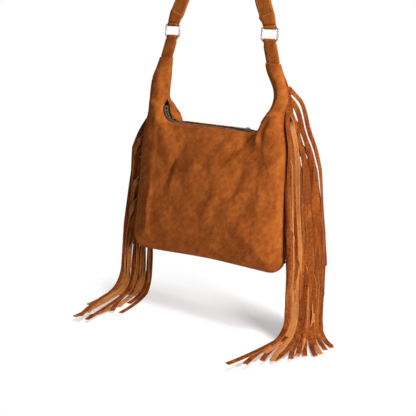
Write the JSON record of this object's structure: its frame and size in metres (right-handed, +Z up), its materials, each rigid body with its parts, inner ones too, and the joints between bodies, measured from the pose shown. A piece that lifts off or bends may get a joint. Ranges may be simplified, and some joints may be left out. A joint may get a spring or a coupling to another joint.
{
  "type": "fringed shoulder bag",
  "caption": "Soft suede shoulder bag hung by its strap, with a zip along its mouth, wire rings and long fringe falling from both side seams.",
  "frame": {"origin": "middle of the underside of the strap's crown, where a hook or a shoulder carries the bag", "axes": "+Z up, -Y out of the bag's front, +X to the right as the front is seen"},
  "size_m": [0.4505, 0.2454, 0.7162],
  "materials": {
    "suede": "napped",
    "fringe": "napped",
    "zip_tape": "woven",
    "zip_metal": "aged",
    "ring_metal": "polished"
  },
  "bodies": {
    "strap": {"strap": "suede"},
    "ring_left": {"ring_left": "ring_metal"},
    "ring_right": {"ring_right": "ring_metal"},
    "bag": {"tab_left": "suede", "tab_right": "suede", "front_panel": "suede", "back_panel": "suede", "fringe_left": "fringe", "fringe_right": "fringe", "zip_tape_front": "zip_tape", "zip_tape_back": "zip_tape", "zip_teeth_front": "zip_metal", "zip_teeth_back": "zip_metal", "zip_stop_left": "zip_metal", "zip_stop_right": "zip_metal"},
    "zip_slider": {"zip_slider": "zip_metal"},
    "zip_pull": {"zip_pull": "zip_metal"}
  },
  "joints": [
    {"name": "ring_left_swing", "type": "hinge", "parent": "strap", "child": "ring_left", "pos_m": [-0.099, 0, -0.165], "axis": [1, 0, 0], "range_deg": [-45, 45]},
    {"name": "ring_right_swing", "type": "hinge", "parent": "strap", "child": "ring_right", "pos_m": [0.099, 0, -0.165], "axis": [1, 0, 0], "range_deg": [-45, 45]},
    {"name": "bag_swing", "type": "hinge", "parent": "ring_left", "child": "bag", "pos_m": [-0.099, 0, -0.187], "axis": [1, 0, 0], "range_deg": [-45, 45]},
    {"name": "zip_slide", "type": "slide", "parent": "bag", "child": "zip_slider", "axis": [-1, 0, 0], "range_m": [0, 0.134]},
    {"name": "pull_swing", "type": "hinge", "parent": "zip_slider", "child": "zip_pull", "pos_m": [0.072, 0, -0.3403], "axis": [0, 1, 0], "range_deg": [0, 120]}
  ],
  "couplings": [
    {"joint": "ring_right_swing", "follows": "ring_left_swing", "ratio": 1}
  ]
}
